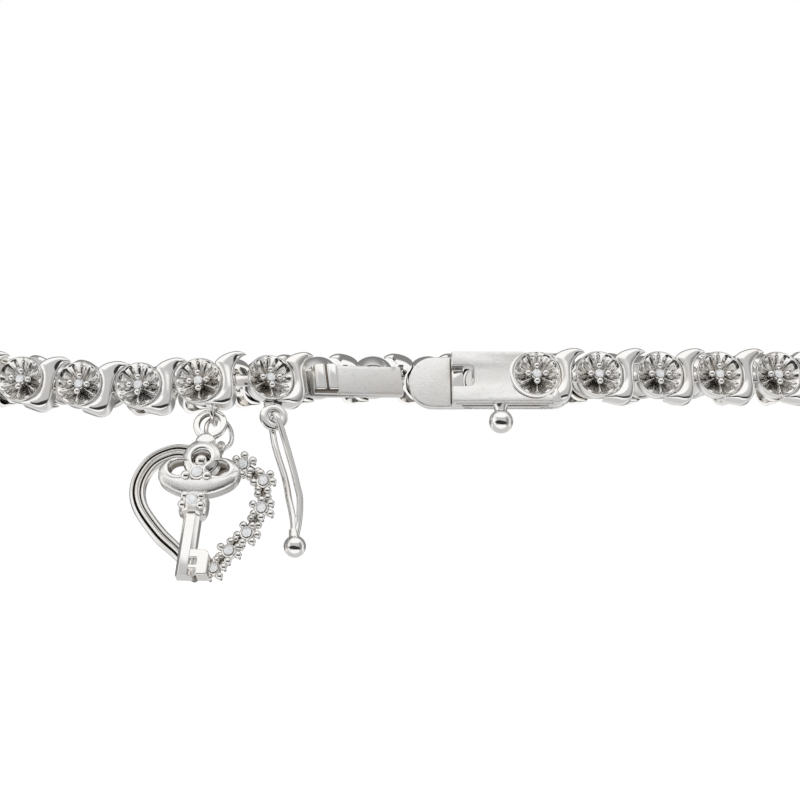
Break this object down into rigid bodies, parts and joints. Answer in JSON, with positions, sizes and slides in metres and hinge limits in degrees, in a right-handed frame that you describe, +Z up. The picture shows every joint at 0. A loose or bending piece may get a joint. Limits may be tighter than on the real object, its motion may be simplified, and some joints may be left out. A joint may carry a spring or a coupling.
{
  "type": "bracelet",
  "caption": "Silver link bracelet of round flower cups with polished waves, an open tongue-and-box clasp with a safety arm, and a heart and key charm.",
  "frame": {"origin": "middle of the open loop, in the plane of its hinge lines, where the wrist goes through", "axes": "+X along the clasp to the clasp box's side, +Y from the clasp to the back of the loop, +Z up across the band"},
  "size_m": [0.0853, 0.0526, 0.0199],
  "materials": {
    "silver": "polished sterling silver",
    "stone": "faceted clear stone"
  },
  "bodies": {
    "chain": {"link_01": "silver", "link_02": "silver", "link_03": "silver", "link_04": "silver", "link_05": "silver", "link_06": "silver", "link_07": "silver", "link_08": "silver", "link_09": "silver", "link_10": "silver", "link_11": "silver", "link_12": "silver", "link_13": "silver", "link_14": "silver", "link_15": "silver", "link_16": "silver", "link_17": "silver", "link_18": "silver", "link_19": "silver", "link_20": "silver", "link_21": "silver", "link_22": "silver", "link_23": "silver", "link_24": "silver", "link_25": "silver", "link_26": "silver", "link_27": "silver", "link_28": "silver", "link_29": "silver", "link_30": "silver", "link_31": "silver", "link_32": "silver", "link_33": "silver", "link_34": "silver", "tongue_link": "silver", "clasp_box": "silver"},
    "arm": {"safety_arm": "silver"},
    "charm": {"jump_ring": "silver", "key": "silver", "heart_ring": "silver", "heart": "silver", "heart_stone_1": "stone", "heart_stone_2": "stone", "heart_stone_3": "stone", "heart_stone_4": "stone", "heart_stone_5": "stone", "heart_stone_6": "stone", "key_stone_1": "stone", "key_stone_2": "stone"}
  },
  "joints": [
    {"name": "safety_arm", "type": "hinge", "parent": "chain", "child": "arm", "pos_m": [-0.01049, -0.0205, -0.00329], "axis": [0.3214, -0.883, 0.342], "range_deg": [0, 75]},
    {"name": "charm_swing", "type": "hinge", "parent": "chain", "child": "charm", "pos_m": [-0.01553, -0.02031, -0.00202], "axis": [0.987, -0.1271, 0.0981], "range_deg": [-10, 28]}
  ]
}
